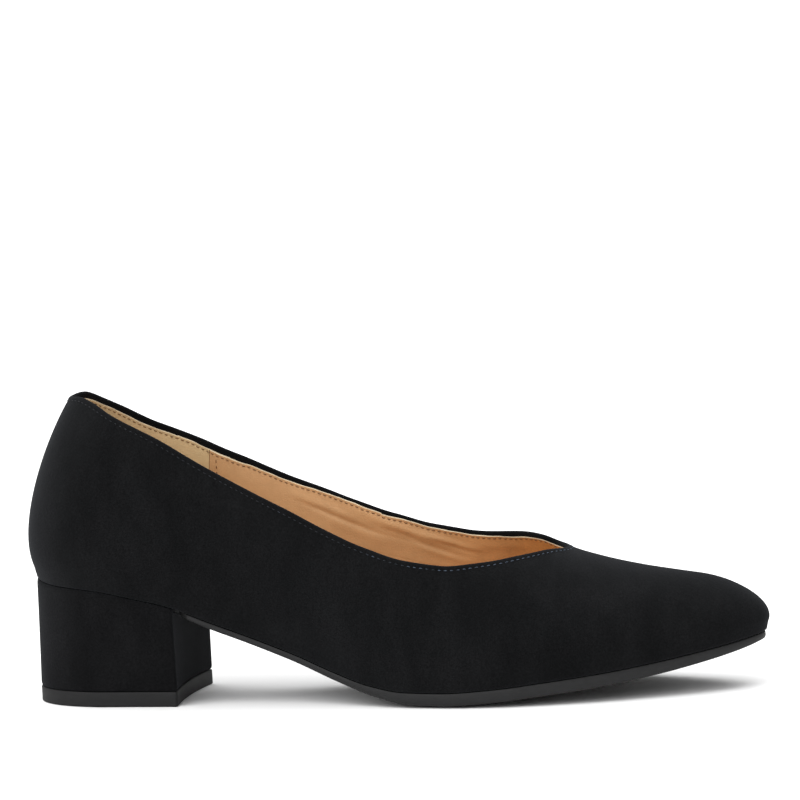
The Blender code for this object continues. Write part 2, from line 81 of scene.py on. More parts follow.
CUTTER_AHEAD = 0.0073
SOLE_BEVEL = 0.0007
RIDGE_STEP = 0.0040
CLEARANCE = 0.0003
HEEL_FAN = 0.048
TOE_FAN = 0.044
HEEL_ROUND = 0.030
TOE_ROUND = 0.017
OUTLINE_SAMPLES = 400

# Feather line in plan: width, then station and share of it on the outer and on the inner side.
OUTLINE = (
    (SEAT_WIDTH, ((0.00, 0.490, 0.490), (0.08, 0.500, 0.500), (0.15, 0.505, 0.500), (0.21, 0.480, 0.455))),
    (WAIST_WIDTH, ((0.26, 0.570, 0.500), (0.31, 0.548, 0.450), (0.36, 0.566, 0.442), (0.41, 0.622, 0.482))),
    (BALL_WIDTH, (
        (0.46, 0.410, 0.322), (0.51, 0.458, 0.374), (0.56, 0.492, 0.428), (0.61, 0.510, 0.470),
        (0.66, 0.507, 0.495), (0.71, 0.482, 0.500), (0.76, 0.441, 0.481), (0.81, 0.386, 0.440),
        (0.86, 0.316, 0.381), (0.91, 0.235, 0.313), (0.96, 0.152, 0.240), (1.00, 0.100, 0.194),
    )),
)

# Bottom of the last: station, share of HEEL_RISE, share of TOE_RISE, hollow as a share of SOLE_THICKNESS.
BOTTOM = (
    (0.00, 1.000, 0.00, 0.00), (0.05, 0.976, 0.00, 0.30), (0.10, 0.939, 0.00, 0.42),
    (0.15, 0.868, 0.00, 0.42), (0.20, 0.783, 0.00, 0.32), (0.26, 0.617, 0.00, 0.23),
    (0.32, 0.459, 0.00, 0.20), (0.38, 0.302, 0.00, 0.21), (0.43, 0.165, 0.00, 0.24),
    (0.48, 0.056, 0.00, 0.26), (0.53, 0.004, 0.00, 0.28), (0.58, 0.000, 0.00, 0.28),
    (0.64, 0.000, 0.06, 0.27), (0.72, 0.000, 0.21, 0.24), (0.80, 0.000, 0.37, 0.19),
    (0.88, 0.000, 0.58, 0.12), (0.95, 0.000, 0.81, 0.05), (1.00, 0.000, 1.00, 0.00),
)

# Outsole: station and thickness as a share of SOLE_THICKNESS.
SOLE = (
    (0.17, 0.22), (0.21, 0.36), (0.26, 0.50), (0.36, 0.54), (0.45, 0.62), (0.50, 0.78), (0.55, 0.96),
    (0.62, 1.00), (0.76, 1.02), (0.84, 0.97), (0.92, 0.85), (0.97, 0.70), (1.00, 0.55),
)

# Crown: station, share of BACK_HEIGHT, share of VAMP_HEIGHT, share of RIDGE_SWING.
CROWN = (
    (0.00, 1.00, 0.00, 0.00), (0.09, 1.15, 0.00, 0.00), (0.16, 1.28, 0.00, 0.00),
    (0.24, 1.35, 0.02, 0.10), (0.32, 1.10, 0.40, 0.25), (0.40, 0.72, 0.90, 0.45),
    (0.48, 0.38, 1.32, 0.65), (0.56, 0.14, 1.47, 0.85), (0.64, 0.00, 1.37, 1.00),
    (0.70, 0.00, 1.150, 1.00), (0.735, 0.00, 1.000, 0.96), (0.78, 0.00, 0.881, 0.90),
    (0.835, 0.00, 0.760, 0.86), (0.885, 0.00, 0.662, 0.86), (0.915, 0.00, 0.603, 0.87),
    (1.00, 0.00, 0.420, 0.90),
)

# Sides: station, flare outer and inner as shares of WAIST_WIDTH, rise of the flare, and how far the crown
# runs level on the outer and on the inner side.
SIDES = (
    (0.00, 0.223, 0.223, 0.25, 0.41, 0.41), (0.10, 0.195, 0.190, 0.33, 0.60, 0.60),
    (0.24, 0.180, 0.200, 0.36, 0.78, 0.80), (0.38, 0.260, 0.330, 0.36, 1.06, 1.22),
    (0.50, 0.120, 0.210, 0.34, 0.80, 0.90), (0.60, 0.060, 0.080, 0.34, 0.62, 0.70),
    (0.72, 0.055, 0.055, 0.40, 0.56, 0.60), (0.84, 0.055, 0.055, 0.46, 0.56, 0.58),
    (0.94, 0.070, 0.070, 0.50, 0.56, 0.56), (1.00, 0.114, 0.114, 0.36, 0.58, 0.58),
)

# Topline: station, share of BACK_HEIGHT, share of VAMP_HEIGHT.
TOPLINE_OUTER = (
    (0.040, 0.980, 0.00), (0.060, 0.999, 0.00), (0.083, 1.017, 0.00), (0.105, 1.001, 0.00),
    (0.130, 0.965, 0.00), (0.166, 0.929, 0.00), (0.240, 0.865, 0.00), (0.316, 0.697, 0.19),
    (0.400, 0.453, 0.52), (0.480, 0.199, 0.85), (0.553, 0.050, 0.995), (0.600, 0.000, 1.035),
    (0.640, 0.000, 1.034), (0.676, 0.000, 1.040), (0.710, 0.000, 1.036),
)
TOPLINE_INNER = (
    (0.040, 0.980, 0.00), (0.060, 1.001, 0.00), (0.066, 1.012, 0.00), (0.072, 1.015, 0.00),
    (0.080, 1.001, 0.00), (0.090, 0.977, 0.00), (0.110, 0.939, 0.00), (0.160, 0.871, 0.00),
    (0.215, 0.846, 0.00), (0.270, 0.718, 0.20), (0.350, 0.505, 0.50), (0.430, 0.262, 0.88),
    (0.486, 0.122, 1.085), (0.545, 0.040, 1.152), (0.600, 0.000, 1.160), (0.664, 0.000, 1.132),
    (0.692, 0.000, 1.094), (0.715, 0.000, 1.030),
)

# Heel tread: share of HEEL_LENGTH and half width as a share of TREAD_WIDTH.
TREAD = (
    (0.00, 0.462), (0.30, 0.462), (0.60, 0.470), (1.00, 0.500),
)
TREAD_ROUND = 0.56

THROAT = THROAT_STATION * SHOE_LENGTH


def smooth(table, station, column):
    """Value of a table's column at a station, on a curve with no overshoot through its rows."""
    last = len(table) - 1
    if station <= table[0][0]:
        return table[0][column]
    if station >= table[last][0]:
        return table[last][column]
    i = next(k for k in range(last) if table[k + 1][0] >= station)

    def slope_between(k):
        return (table[k + 1][column] - table[k][column]) / (table[k + 1][0] - table[k][0])

    def slope_at(k):
        if k in (0, last):
            return slope_between(min(k, last - 1))
        before, after = slope_between(k - 1), slope_between(k)
        if before * after <= 0:
            return 0.0
        return 2 * before * after / (before + after)

    span = table[i + 1][0] - table[i][0]
    t = (station - table[i][0]) / span
    h00 = (1 + 2 * t) * (1 - t) ** 2
    h01 = t * t * (3 - 2 * t)
    h10 = t * (1 - t) ** 2
    h11 = t * t * (t - 1)
    return (
        h00 * table[i][column]
        + h01 * table[i + 1][column]
        + span * (h10 * slope_at(i) + h11 * slope_at(i + 1))
    )


def rounding(distance, reach):
    if distance >= reach:
        return 1.0
    gone = 1 - max(distance, 0.0) / reach
    return math.sqrt(1 - gone**2)


WIDTHS = tuple((s, width * outer, width * inner) for width, rows in OUTLINE for s, outer, inner in rows)


def plain_half_width(x, side):
    return smooth(WIDTHS, x / SHOE_LENGTH, 1 if side < 0 else 2)


def edge_y(x, side):
    ends = rounding(x, HEEL_ROUND) * rounding(SHOE_LENGTH - x, TOE_ROUND)
    meeting = TOE_SWING if x > SHOE_LENGTH / 2 else 0.0
    return side * plain_half_width(x, side) * ends + meeting * (1 - ends)


def ridge_y(x):
    return RIDGE_SWING * smooth(CROWN, x / SHOE_LENGTH, 3)


def edge_height(x):
    s = x / SHOE_LENGTH
    climb = HEEL_RISE * smooth(BOTTOM, s, 1) + TOE_RISE * smooth(BOTTOM, s, 2)
    return EDGE_LIFT + SOLE_THICKNESS + climb


def bottom(x, y):
    across = min(1.0, abs(y) / plain_half_width(x, math.copysign(1, y)))
    hollow = SOLE_THICKNESS * smooth(BOTTOM, x / SHOE_LENGTH, 3)
    return edge_height(x) - hollow * (1 - across**2)


def crown_height(x):
    s = x / SHOE_LENGTH
    above = BACK_HEIGHT * smooth(CROWN, s, 1) + VAMP_HEIGHT * smooth(CROWN, s, 2)
    return edge_height(x) + above


THROAT_RISE = (THROAT_STATION, crown_height(THROAT) - edge_height(THROAT))
TOPLINES = {
    side: [(s, BACK_HEIGHT * back + VAMP_HEIGHT * vamp) for s, back, vamp in rows] + [THROAT_RISE]
    for side, rows in ((-1, TOPLINE_OUTER), (1, TOPLINE_INNER))
}


def topline_height(x, side):
    return edge_height(x) + smooth(TOPLINES[side], x / SHOE_LENGTH, 1)


def drawn_in(distance, reach):
    if distance >= reach:
        return distance
    return reach / 2 + distance**2 / (2 * reach)


def foot_of(x):
    if x < HEEL_FAN:
        return drawn_in(x, HEEL_FAN)
    return SHOE_LENGTH - drawn_in(SHOE_LENGTH - x, TOE_FAN)


def outline_lengths():
    xs = []
    lengths = [0.0]
    for k in range(OUTLINE_SAMPLES + 1):
        xs.append(SHOE_LENGTH * (1 - math.cos(math.pi * k / OUTLINE_SAMPLES)) / 2)
        if k:
            step = edge_y(xs[k], -1) - edge_y(xs[k - 1], -1)
            lengths.append(lengths[-1] + math.hypot(xs[k] - xs[k - 1], step))
    return xs, lengths


OUTLINE_XS, OUTLINE_LENGTHS = outline_lengths()


def read_across(keys, values, wanted):
    k = next(i for i in range(OUTLINE_SAMPLES) if keys[i + 1] >= wanted - 1e-12)
    return values[k] + (values[k + 1] - values[k]) * (wanted - keys[k]) / (keys[k + 1] - keys[k])


def evenly_spaced(lowest, highest, count):
    """count + 1 values of x, evenly spaced along the feather line between two values of x."""
    start, end = (read_across(OUTLINE_XS, OUTLINE_LENGTHS, x) for x in (lowest, highest))
    lengths = [start + (end - start) * k / count for k in range(1, count)]
    return [lowest, *(read_across(OUTLINE_LENGTHS, OUTLINE_XS, length) for length in lengths), highest]


class Section:
    """One upright section through the last, from the feather line to the crown."""

    def __init__(self, x, side):
        self.side = side
        self.x = x
        self.foot = foot_of(x)
        self.edge = (x, edge_y(x, side))
        self.centre = (self.foot, ridge_y(self.foot))
        self.reach = math.dist(self.edge, self.centre)
        self.top = crown_height(self.foot)
        station = x / SHOE_LENGTH
        flare = WAIST_WIDTH * smooth(SIDES, station, 1 if side < 0 else 2)
        rise = smooth(SIDES, station, 3)
        base = bottom(*self.edge) + CLEARANCE + FEATHER_RADIUS
        step = RIDGE_STEP
        ridge_slope = (crown_height(self.foot + step) - crown_height(self.foot - step)) / (2 * step)
        level = smooth(SIDES, station, 4 if side < 0 else 5) * self.reach
        forward = (self.edge[0] - self.centre[0]) / self.reach
        self.points = (
            (0.0, base),
            (flare, base + rise * (self.top - base)),
            (level - self.reach, self.top + ridge_slope * forward * level),
            (-self.reach, self.top),
        )

    def plan(self, outward):
        share = 1 + outward / self.reach
        return tuple(c + share * (e - c) for e, c in zip(self.edge, self.centre))

    def floor(self, inward, lift=0.0):
        x, y = self.plan(-inward)
        return Vector((x, y, bottom(x, y) + lift))

    def wall(self, t):
        weights = ((1 - t) ** 3, 3 * t * (1 - t) ** 2, 3 * t * t * (1 - t), t**3)
        outward = sum(w * p[0] for w, p in zip(weights, self.points))
        height = sum(w * p[1] for w, p in zip(weights, self.points))
        return Vector((*self.plan(outward), height))

    def topline(self):
        if self.x >= THROAT - 1e-9:
            return 1.0
        low, high = 0.2, 1.0
        for _ in range(34):
            t = (low + high) / 2
            point = self.wall(t)
            if point.z < topline_height(point.x, self.side):
                low = t
            else:
                high = t
        return high

    def below(self, start, distance):
        """t at a distance along the wall below t start."""
        t = start
        point = self.wall(t)
        gone = 0.0
        while t > 0.01 and gone < distance:
            t -= 0.004
            following = self.wall(t)
            gone += (following - point).length
            point = following
        return t


def ease(low, high, value):
    share = min(1.0, max(0.0, (value - low) / (high - low)))
    return share * share * (3 - 2 * share)


def half_round(xs):
    outer = [Section(x, -1) for x in xs]
    inner = [Section(x, 1) for x in reversed(xs)]
    return outer, inner


SHIFT = Vector((-HEEL_LENGTH / 2, 0.0, 0.0))
MERGE_DISTANCE = 1e-6


def put_in_scene(name, data):
    made = bpy.data.objects.new(name, data)
    bpy.context.scene.collection.objects.link(made)
    return made


def turn_outward(mesh, outward):
    """Merge points that meet and turn the faces so that most look along outward(place), where given."""
    bmesh.ops.remove_doubles(mesh, verts=mesh.verts, dist=MERGE_DISTANCE)
    bmesh.ops.recalc_face_normals(mesh, faces=mesh.faces)
    if outward is None:
        return
    trend = sum(f.normal.dot(outward(f.calc_center_median())) * f.calc_area() for f in mesh.faces)
    if trend < 0:
        bmesh.ops.reverse_faces(mesh, faces=mesh.faces)


class Skin:
    """A mesh made of rows of points in last coordinates."""

    def __init__(self):
        self.mesh = bmesh.new()

    def row(self, points):
        return [self.mesh.verts.new(p) for p in points]

    def join(self, first, second, closed=True, slot=0):
        count = len(first)
        for k in range(count if closed else count - 1):
            n = (k + 1) % count
            corners = (first[k], first[n], second[n], second[k])
            if len(set(corners)) == 4:
                self.mesh.faces.new(corners).material_index = slot

    def sheet(self, rows, closed=True, slot=0):
        made = [self.row(points) for points in rows]
        for first, second in zip(made, made[1:]):
            self.join(first, second, closed, slot)
        return made

    def cap(self, row):
        self.mesh.faces.new(row)

    def finish(self, name, materials, outward, angle=50):
        turn_outward(self.mesh, outward)
        for vertex in self.mesh.verts:
            vertex.co += SHIFT
        data = bpy.data.meshes.new(name)
        self.mesh.to_mesh(data)
        self.mesh.free()
        for made_of in materials:
            data.materials.append(made_of)
        data.shade_smooth()
        data.set_sharp_from_angle(angle=math.radians(angle))
        made = put_in_scene(name, data)
        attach(made, "root")
        return made


AXIS_HEIGHT = 0.02  # of a line inside the last, above the feather line


def away_from_axis(point):
    """Direction out of the last at a point near its surface."""
    x = min(max(point.x, 0), SHOE_LENGTH)
    return Vector((0.0, point.y, point.z - edge_height(x) - AXIS_HEIGHT))


# Materials.


class Surface:
    """A material in the making, with short ways to add nodes to it."""

    def __init__(self, name):
        self.material = bpy.data.materials.new(name)
        self.material.use_nodes = True
        self.nodes = self.material.node_tree.nodes
        self.links = self.material.node_tree.links
        self.shader = self.nodes["Principled BSDF"]

    def feed(self, made, inputs):
        """Set each input of a node to a value, or link it to a socket."""
        for key, value in inputs.items():
            if isinstance(value, bpy.types.NodeSocket):
                self.links.new(value, made.inputs[key])
            else:
                made.inputs[key].default_value = value

    def add(self, kind, inputs, output):
        made = self.nodes.new("ShaderNode" + kind)
        self.feed(made, inputs)
        return made.outputs[output]

    def noise(self, where, scale, detail, roughness):
        inputs = {"Vector": where, "Scale": scale, "Detail": detail, "Roughness": roughness}
        return self.add("TexNoise", inputs, "Fac")

    def stretched(self, where, scale):
        return self.add("Mapping", {"Vector": where, "Scale": scale}, "Vector")

    def ramp(self, fac, stops):
        made = self.nodes.new("ShaderNodeValToRGB")
        elements = made.color_ramp.elements
        for k, (place, colour) in enumerate(stops):
            element = elements[k] if k < 2 else elements.new(place)
            element.position = place
            element.color = (*colour, 1.0)
        self.links.new(fac, made.inputs["Fac"])
        return made.outputs["Color"]

    def math(self, operation, first, second):
        made = self.nodes.new("ShaderNodeMath")
        made.operation = operation
        self.feed(made, {0: first, 1: second})
        return made.outputs["Value"]

    def along_shoe(self, where, end):
        """Share of the way from the back of the heel seat to an x in last coordinates."""
        x = self.add("SeparateXYZ", {"Vector": where}, "X")
        inputs = {"Value": x, "From Min": SHIFT.x, "From Max": end - HEEL_LENGTH / 2}
        return self.add("MapRange", inputs, "Result")

    def colour(self, first, second):
        """Base colour: one colour times another."""
        made = self.nodes.new("ShaderNodeMix")
        made.data_type = "RGBA"
        made.blend_type = "MULTIPLY"
        self.feed(made, {0: 1.0, 6: first, 7: second})
        self.links.new(made.outputs[2], self.shader.inputs["Base Color"])

    def rough(self, fac, low, high):
        inputs = {"Value": fac, "To Min": low, "To Max": high}
        self.feed(self.shader, {"Roughness": self.add("MapRange", inputs, "Result")})

    def bump(self, height, strength, distance):
        inputs = {"Strength": strength, "Distance": distance, "Height": height}
        self.feed(self.shader, {"Normal": self.add("Bump", inputs, "Normal")})


def grey(value):
    return (value, value, value)


def suede_material(name, dark, light, sheen):
    """Brushed black suede: fine nap, clouds where the nap lies another way, and a soft sheen."""
    made = Surface(name)
    where = made.add("TexCoord", {}, "Object")
    brushed = made.stretched(where, (1.0, 1.0, 0.45))
    clouds = made.noise(brushed, 75.0, 4.0, 0.6)
    nap = made.noise(where, 1500.0, 3.0, 0.7)
    fibres = made.noise(brushed, 3200.0, 2.0, 0.6)
    base = made.ramp(clouds, ((0.36, dark), (0.66, light)))
    made.colour(base, made.ramp(nap, ((0.33, (0.55, 0.55, 0.56)), (0.72, (1.5, 1.5, 1.52)))))
    made.feed(made.shader, {
        "Roughness": 1.0,
        "Specular IOR Level": 0.06,
        "Sheen Weight": sheen,
        "Sheen Roughness": 0.55,
        "Sheen Tint": (0.62, 0.66, 0.74, 1.0),
    })
    made.bump(made.math("ADD", nap, made.math("MULTIPLY", fibres, 0.6)), 0.55, 0.00016)
    return made.material


def leather_material(name, stops, mottling, grain=900.0, roughness=0.5):
    """Lining leather whose colour changes along the shoe, with pores, fine grain and faint stains."""
    made = Surface(name)
    where = made.add("TexCoord", {}, "Object")
    base = made.ramp(made.along_shoe(where, SHOE_LENGTH), stops)
    clouds = made.noise(where, 55.0, 4.0, 0.6)
    fine = made.noise(where, 420.0, 3.0, 0.6)
    tone = made.math("ADD", made.math("MULTIPLY", clouds, 0.7), made.math("MULTIPLY", fine, 0.3))
    low, high = 1.0 - mottling, 1.0 + mottling
    made.colour(base, made.ramp(tone, ((0.32, (low, low * 0.99, low * 0.97)), (0.68, grey(high)))))
    pores = made.nodes.new("ShaderNodeTexVoronoi")
    pores.feature = "DISTANCE_TO_EDGE"
    made.feed(pores, {"Vector": where, "Scale": grain})
    creased = made.ramp(pores.outputs["Distance"], ((0.0, grey(0.0)), (0.16, grey(1.0))))
    made.feed(made.shader, {"Specular IOR Level": 0.35})
    made.rough(tone, roughness - 0.08, roughness + 0.12)
    made.bump(made.math("ADD", creased, made.math("MULTIPLY", clouds, 1.2)), 0.35, 0.00010)
    return made.material


def rubber_material(name, dark, light, roughness=0.55):
    """Moulded rubber, matt, with fine grain, faint scuffs and paler rubbed patches."""
    made = Surface(name)
    where = made.add("TexCoord", {}, "Object")
    patches = made.noise(where, 90.0, 5.0, 0.65)
    grain = made.noise(where, 2400.0, 3.0, 0.6)
    scuffs = made.noise(made.stretched(where, (0.12, 1.0, 1.0)), 900.0, 3.0, 0.5)
    base = made.ramp(patches, ((0.35, dark), (0.7, light)))
    made.colour(base, made.ramp(scuffs, ((0.4, grey(0.88)), (0.75, grey(1.2)))))
    made.feed(made.shader, {"Specular IOR Level": 0.28})
    made.rough(patches, roughness - 0.1, roughness + 0.18)
    made.bump(made.math("ADD", grain, scuffs), 0.3, 0.00008)
    return made.material


def thread_material(name, dark, light, roughness, painted_shade_at_heel, painted_light_at_throat):
    """Twisted thread, with painted shade darkening it towards the heel and painted light brightening it
    near the throat.
    """
    made = Surface(name)
    where = made.add("TexCoord", {}, "Object")
    twist = made.add("TexWave", {"Vector": where, "Scale": 900.0, "Distortion": 2.0}, "Fac")
    strand = made.ramp(twist, ((0.2, dark), (0.8, light)))
    # Painted light: the thread's colour is scaled from painted shade at the heel to painted light near the
    # throat, with a little random tone from the noise.
    ahead = made.along_shoe(where, THROAT)
    ahead = made.math("MULTIPLY", made.math("MULTIPLY", ahead, ahead), 0.7)
    fuzz = made.math("MULTIPLY", made.noise(where, 260.0, 2.0, 0.6), 0.9)
    painted_light_between = painted_shade_at_heel + (painted_light_at_throat - painted_shade_at_heel) * 0.1
    painted_light_and_fuzz = made.math("ADD", ahead, fuzz)
    made.colour(strand, made.ramp(painted_light_and_fuzz, ((0.55, grey(painted_shade_at_heel)), (0.78, grey(painted_light_between)), (0.95, grey(painted_light_at_throat)))))
    made.feed(made.shader, {"Roughness": roughness, "Specular IOR Level": 0.25})
    made.bump(twist, 0.4, 0.00006)
    return made.material


SUEDE = suede_material("suede", (0.0028, 0.0029, 0.0030), (0.0050, 0.0051, 0.0053), 0.050)
HEEL_SUEDE = suede_material("heel_suede", (0.0030, 0.0030, 0.0032), (0.0052, 0.0052, 0.0055), 0.035)
FRONT_TONES = (
    (0.25, (0.56, 0.335, 0.165)),
    (0.52, (0.52, 0.295, 0.135)),
    (0.64, (0.50, 0.25, 0.095)),
    (0.74, (0.66, 0.33, 0.095)),
)
COUNTER_TONES = ((0.0, (0.40, 0.32, 0.175)), (0.11, (0.63, 0.48, 0.28)), (0.26, (0.60, 0.45, 0.245)))
SOCK_TONES = ((0.0, (0.52, 0.30, 0.14)), (0.9, (0.50, 0.27, 0.115)))
# Dark brown of the front lining's cut edge along the seam: painted shade of the seam.
SEAM_SHADE_TONES = ((0.0, (0.20, 0.11, 0.05)), (1.0, (0.20, 0.11, 0.05)))
CUT_TONES = ((0.0, (0.62, 0.50, 0.34)), (1.0, (0.64, 0.52, 0.36)))
BOARD_TONES = ((0.0, (0.30, 0.20, 0.11)), (1.0, (0.28, 0.19, 0.10)))
FRONT_LINING = leather_material("front_lining", FRONT_TONES, 0.10)
COUNTER_LINING = leather_material("counter_lining", COUNTER_TONES, 0.10, 700.0, 0.62)
SOCK = leather_material("sock_leather", SOCK_TONES, 0.08, 820.0, 0.5)
SEAM_SHADE_EDGE = leather_material("lining_seam_painted_shade", SEAM_SHADE_TONES, 0.2, 2400.0, 0.9)
CUT_EDGE = leather_material("lining_cut_edge", CUT_TONES, 0.2, 2400.0, 0.9)
BOARD = leather_material("insole_board", BOARD_TONES, 0.15, 1500.0, 0.9)
RUBBER = rubber_material("sole_rubber", (0.0066, 0.0066, 0.0070), (0.0108, 0.0108, 0.0113))
LIFT_RUBBER = rubber_material("top_piece_rubber", (0.0052, 0.0052, 0.0056), (0.0082, 0.0082, 0.0087), 0.65)
# The last two numbers of each thread set its painted shade at the heel and its painted light near the
# throat.
THREAD = thread_material("edge_thread", (0.004, 0.005, 0.008), (0.028, 0.038, 0.054), 0.55, 0.22, 2.4)
BROWN_THREAD = thread_material("lining_thread", (0.10, 0.045, 0.018), (0.24, 0.12, 0.05), 0.45, 0.9, 1.1)


# The outer face of the upper, which everything on it is laid against.

OPEN_COLUMNS = 96
CLOSED_COLUMNS = 34
FACE_ROWS = 44
xs_open = evenly_spaced(0.0, THROAT, OPEN_COLUMNS)
xs_closed = evenly_spaced(THROAT, SHOE_LENGTH, CLOSED_COLUMNS)
outer_side, inner_side = half_round(xs_open + xs_closed[1:])
ROUND = outer_side + inner_side[1:-1]
TOPS = [s.topline() for s in ROUND]


class Face:
    """The outer face as a mesh that can be asked for its nearest point and smooth normal."""

    def __init__(self):
        skin = Skin()
        columns = list(zip(ROUND, TOPS))
        skin.sheet([s.wall(top * k / FACE_ROWS) for s, top in columns] for k in range(FACE_ROWS + 1))
        mesh = skin.mesh
        turn_outward(mesh, away_from_axis)
        mesh.normal_update()
        mesh.verts.ensure_lookup_table()
        self.points = [v.co.copy() for v in mesh.verts]
        self.normals = [v.normal.copy() for v in mesh.verts]
        self.corners = [[v.index for v in f.verts] for f in mesh.faces]
        self.tree = BVHTree.FromPolygons(self.points, self.corners)
        mesh.free()

    def at(self, point):
        """Nearest point of the face and its smooth normal."""
        place, _, index, _ = self.tree.find_nearest(point)
        corners = self.corners[index]
        shares = poly_3d_calc([self.points[k] for k in corners], place)
        normal = Vector((0.0, 0.0, 0.0))
        for share, k in zip(shares, corners):
            normal += self.normals[k] * share
        return place, normal.normalized()


face = Face()

# The topline as one closed loop: from the back along the outer side to the throat and back along the
# inner side.

LOOP_COUNT = 820
LOOP_SECTIONS = 300
LOOP_SMOOTHING = 6


def topline_loop():
    outer, inner = half_round(evenly_spaced(0.0, THROAT, LOOP_SECTIONS))
    points = [s.wall(s.topline()) for s in outer + inner[1:-1]]
    total = [0.0]
    for first, second in zip(points, points[1:] + points[:1]):
        total.append(total[-1] + (second - first).length)
    ring = []
    k = 0
    for i in range(LOOP_COUNT):
        wanted = total[-1] * i / LOOP_COUNT
        while total[k + 1] < wanted:
            k += 1
        share = (wanted - total[k]) / (total[k + 1] - total[k])
        ring.append(points[k].lerp(points[(k + 1) % len(points)], share))
    for _ in range(LOOP_SMOOTHING):
        ring = [
            ring[i] * 0.5 + (ring[i - 1] + ring[(i + 1) % LOOP_COUNT]) * 0.25
            for i in range(LOOP_COUNT)
        ]
    return ring, total[-1]


loop, loop_length = topline_loop()
loop_tree = KDTree(LOOP_COUNT)
for i, point in enumerate(loop):
    loop_tree.insert(point, i)
loop_tree.balance()


def averaged(vectors, passes):
    count = len(vectors)
    for _ in range(passes):
        vectors = [
            (vectors[i] * 2 + vectors[i - 1] + vectors[(i + 1) % count]).normalized() for i in range(count)
        ]
    return vectors


loop_normals = averaged([face.at(p)[1] for p in loop], 8)
chords = [loop[(i + 1) % LOOP_COUNT] - loop[i - 1] for i in range(LOOP_COUNT)]
loop_tangents = averaged([chord.normalized() for chord in chords], 4)
loop_open = [n.cross(t).normalized() for n, t in zip(loop_normals, loop_tangents)]

LOOP_ZONE = 0.0008  # depth within which the loop's own directions hold, before the face's take over
LOOP_BLEND = 0.002
RIM_REACH = 0.008  # depth at which the rim has thickened to the full wall
LINING_GAP = 0.0003


def along_loop(vectors, i):
    """A loop's vector at a place that may lie between two of its points."""
    low = math.floor(i)
    return vectors[low % LOOP_COUNT].lerp(vectors[(low + 1) % LOOP_COUNT], i - low)


def beside_loop(i, distance, offset):
    """A point at a distance below the topline and an offset out of the outer face, both in metres."""
    opening = along_loop(loop_open, i)
    out = along_loop(loop_normals, i)
    start = along_loop(loop, i) - opening * distance
    if distance <= LOOP_ZONE:
        return start + out * offset
    place, normal = face.at(start)
    share = min(1.0, (distance - LOOP_ZONE) / LOOP_BLEND)
    across = out.lerp(normal, share).normalized()
    return place.lerp(start, 1 - share) + across * offset


def wall_at(distance):
    """Depth of the upper's inner face at a distance below the topline."""
    return RIM + (WALL - RIM) * ease(0.0, RIM_REACH, distance)


# Folds of the lining, as lines from one x and depth below the topline to another, with the
# width and the height of each. A negative height is a groove.
FOLDS_INNER = (
    (0.089, 0.0074, 0.113, 0.0084, 0.0007, -0.00042), (0.088, 0.0056, 0.116, 0.0062, 0.0015, 0.00032),
    (0.111, 0.0084, 0.130, 0.0083, 0.0007, -0.00020), (0.106, 0.0034, 0.125, 0.0040, 0.0018, 0.00045),
    (0.120, 0.0042, 0.140, 0.0052, 0.0016, 0.00060), (0.114, 0.0066, 0.128, 0.0062, 0.0010, -0.00022),
    (0.127, 0.0070, 0.144, 0.0104, 0.0010, -0.00052), (0.128, 0.0082, 0.147, 0.0122, 0.0017, 0.00038),
    (0.134, 0.0042, 0.149, 0.0068, 0.0011, 0.00040), (0.137, 0.0060, 0.152, 0.0088, 0.0009, -0.00026),
    (0.096, 0.0100, 0.118, 0.0108, 0.0020, 0.00026), (0.150, 0.0050, 0.168, 0.0056, 0.0016, 0.00022),
)
FOLDS_OUTER = (
    (0.092, 0.0060, 0.116, 0.0068, 0.0012, -0.00036), (0.098, 0.0040, 0.128, 0.0048, 0.0016, 0.00036),
    (0.122, 0.0066, 0.142, 0.0096, 0.0012, -0.00040), (0.130, 0.0044, 0.150, 0.0064, 0.0013, 0.00034),
    (0.146, 0.0050, 0.162, 0.0060, 0.0015, 0.00024),
)


def wrinkle(point, depth):
    """How far the lining stands out of its plain shape at a point."""
    total = 0.0
    for x0, d0, x1, d1, width, height in FOLDS_OUTER if point.y < 0 else FOLDS_INNER:
        if not x0 - 0.006 < point.x < x1 + 0.006:
            continue
        share = min(1.0, max(0.0, (point.x - x0) / (x1 - x0)))
        across = (depth - d0 - (d1 - d0) * share) / width
        beyond = max(x0 - point.x, point.x - x1, 0.0) / 0.0025
        fading = math.sin(math.pi * (0.12 + 0.76 * share))
        total += height * fading * math.exp(-across * across - beyond * beyond)
    return total + 0.00006 * math.sin(point.x * 420 + depth * 300)


def lining_depth(point, distance, proud):
    return wall_at(distance) + LINING_GAP + proud + wrinkle(point, distance)


# Upper: the suede from its lasting margin up to the fold.
FEATHER_BEND = 0.0010  # sharper bend of the thin suede, inside the room of FEATHER_RADIUS
UNDER_FOLD = 0.0006  # depth at which the suede ends under the folded edge
UPPER_ROWS = 46


def make_upper():
    skin = Skin()
    rows = []
    for inward in (LASTING_MARGIN, (LASTING_MARGIN + FEATHER_RADIUS) / 2, FEATHER_RADIUS * 1.5):
        rows.append([s.floor(inward, CLEARANCE) for s in ROUND])
    for turn in (0, 22.5, 45, 67.5):
        a = math.radians(turn)
        inward, lift = FEATHER_BEND * (1 - math.sin(a)), FEATHER_BEND * (1 - math.cos(a))
        rows.append([s.floor(inward, CLEARANCE + lift) for s in ROUND])
    ends = [s.below(top, UNDER_FOLD) if top < 1 else 1.0 for s, top in zip(ROUND, TOPS)]
    for k in range(2, UPPER_ROWS + 1):
        rows.append([s.wall(end * k / UPPER_ROWS) for s, end in zip(ROUND, ends)])
    skin.sheet(rows)
    made = skin.finish("upper_suede", [SUEDE], away_from_axis)
    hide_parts("upper")


